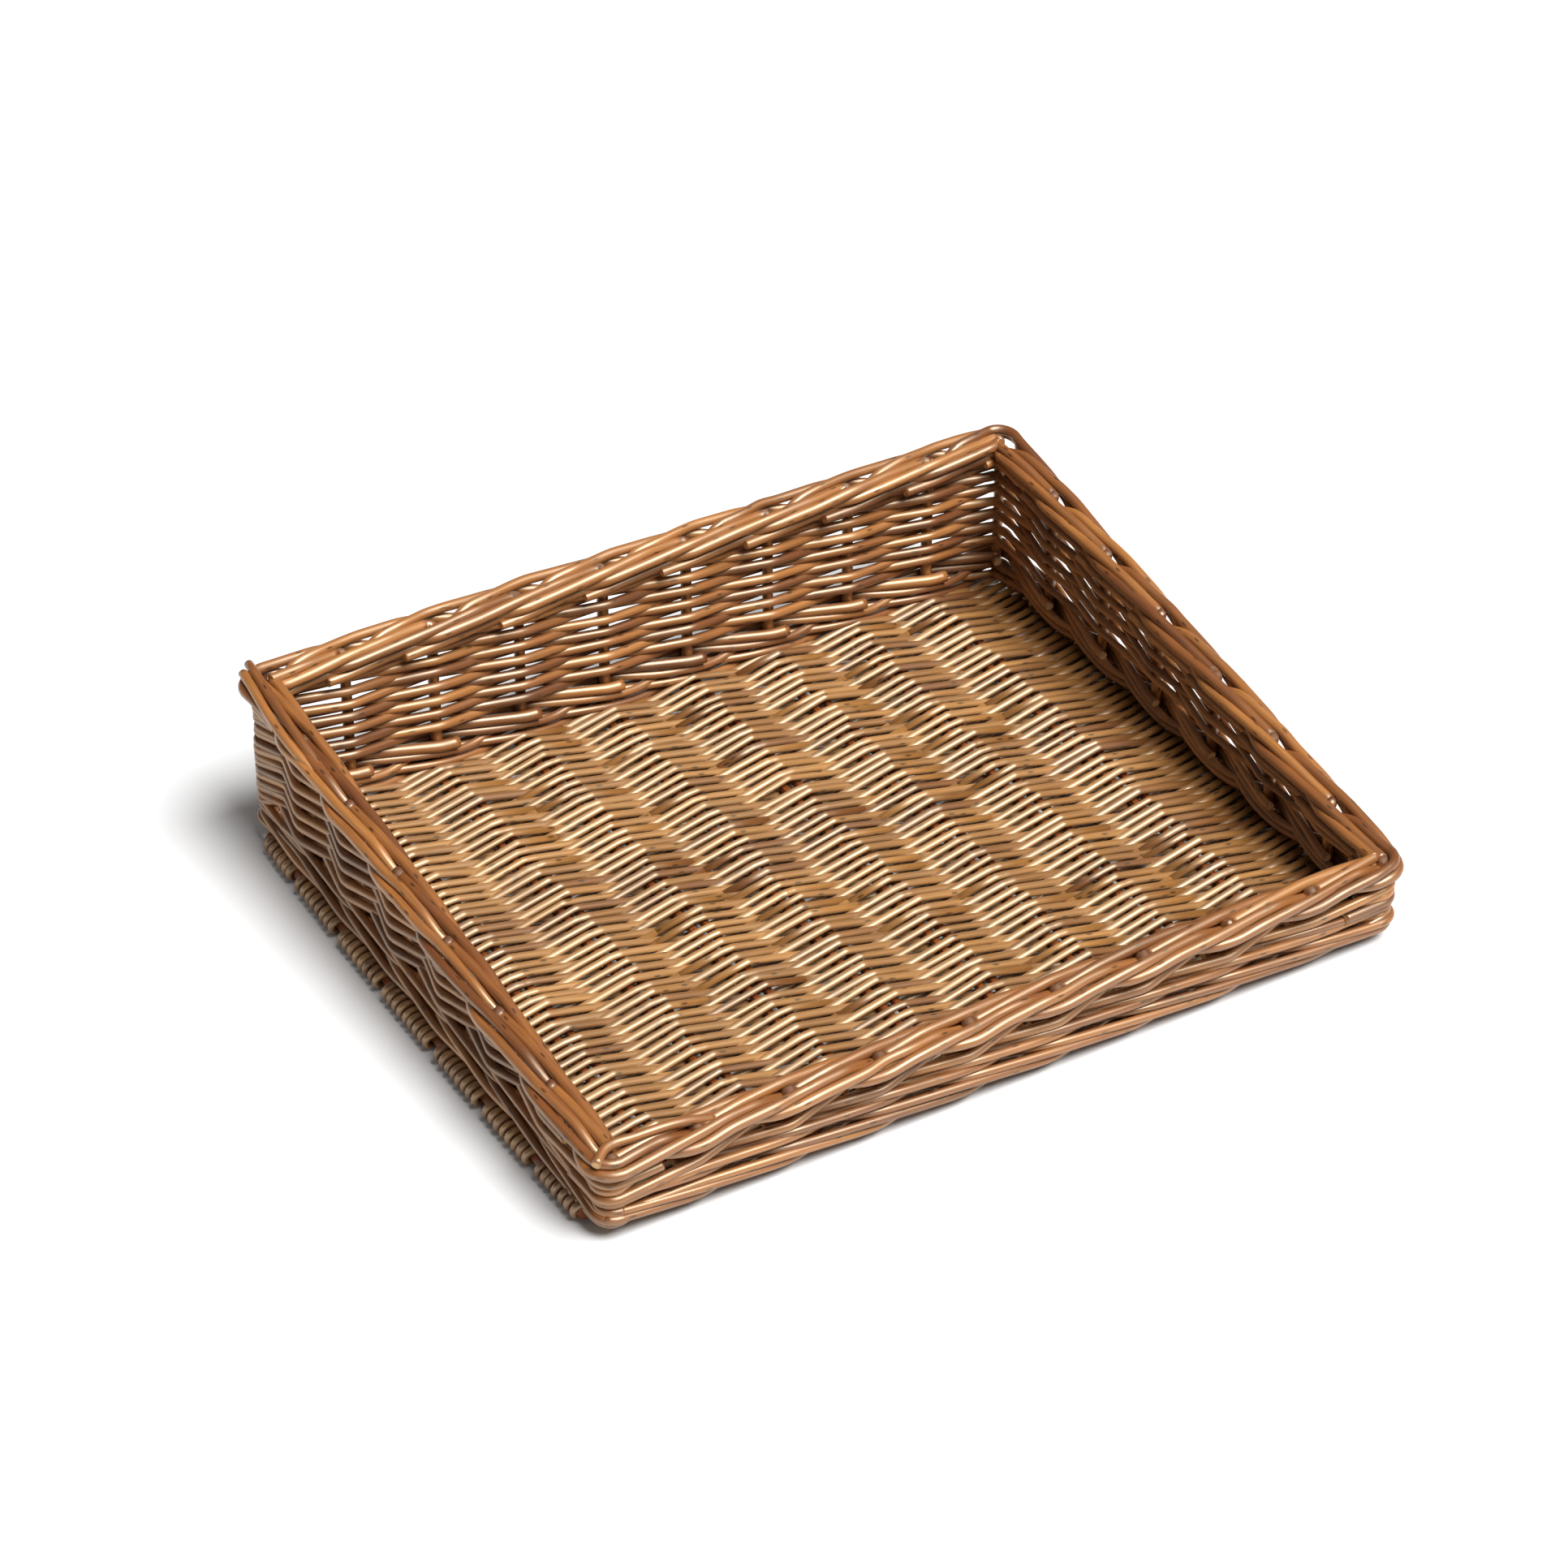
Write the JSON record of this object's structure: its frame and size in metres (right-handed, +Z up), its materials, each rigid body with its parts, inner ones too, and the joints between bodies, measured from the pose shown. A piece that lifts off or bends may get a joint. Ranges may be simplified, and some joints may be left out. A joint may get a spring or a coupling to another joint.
{
  "type": "wicker tray basket",
  "caption": "Rectangular woven willow tray basket with a low front, a high back and sloping sides, for display or storage.",
  "frame": {"origin": "middle of the basket's footprint, on the floor that it stands on", "axes": "+X to the right along the long front, -Y towards the low front, +Z up"},
  "size_m": [0.5164, 0.416, 0.113],
  "materials": {
    "base_rods": "satin",
    "wall_rods": "satin",
    "dark_rods": "satin"
  },
  "bodies": {
    "root": {"base_stick_01": "dark_rods", "base_stick_02": "dark_rods", "base_stick_03": "dark_rods", "base_stick_04": "dark_rods", "base_stick_05": "dark_rods", "base_stick_06": "dark_rods", "base_stick_07": "dark_rods", "base_stick_08": "dark_rods", "base_stick_09": "dark_rods", "base_stick_10": "dark_rods", "base_stick_11": "dark_rods", "base_stick_12": "dark_rods", "base_stick_13": "dark_rods", "base_stick_14": "dark_rods", "base_stick_15": "dark_rods", "base_stick_16": "dark_rods", "edge_stick_left": "dark_rods", "edge_stick_right": "dark_rods", "base_weave": "base_rods", "corner_post_front_left": "wall_rods", "stake_front_1": "wall_rods", "stake_front_2": "wall_rods", "stake_front_3": "wall_rods", "stake_front_4": "wall_rods", "stake_front_5": "wall_rods", "stake_front_6": "wall_rods", "stake_front_7": "wall_rods", "stake_front_8": "wall_rods", "corner_post_front_right": "wall_rods", "stake_right_1": "wall_rods", "stake_right_2": "wall_rods", "stake_right_3": "wall_rods", "stake_right_4": "wall_rods", "stake_right_5": "wall_rods", "stake_right_6": "wall_rods", "corner_post_back_right": "wall_rods", "stake_back_1": "wall_rods", "stake_back_2": "wall_rods", "stake_back_3": "wall_rods", "stake_back_4": "wall_rods", "stake_back_5": "wall_rods", "stake_back_6": "wall_rods", "stake_back_7": "wall_rods", "stake_back_8": "wall_rods", "corner_post_back_left": "wall_rods", "stake_left_1": "wall_rods", "stake_left_2": "wall_rods", "stake_left_3": "wall_rods", "stake_left_4": "wall_rods", "stake_left_5": "wall_rods", "stake_left_6": "wall_rods", "wale_front": "dark_rods", "weave_front": "wall_rods", "wale_back": "dark_rods", "weave_back": "wall_rods", "wale_left": "dark_rods", "weave_left": "wall_rods", "wale_right": "dark_rods", "weave_right": "wall_rods"}
  },
  "joints": []
}
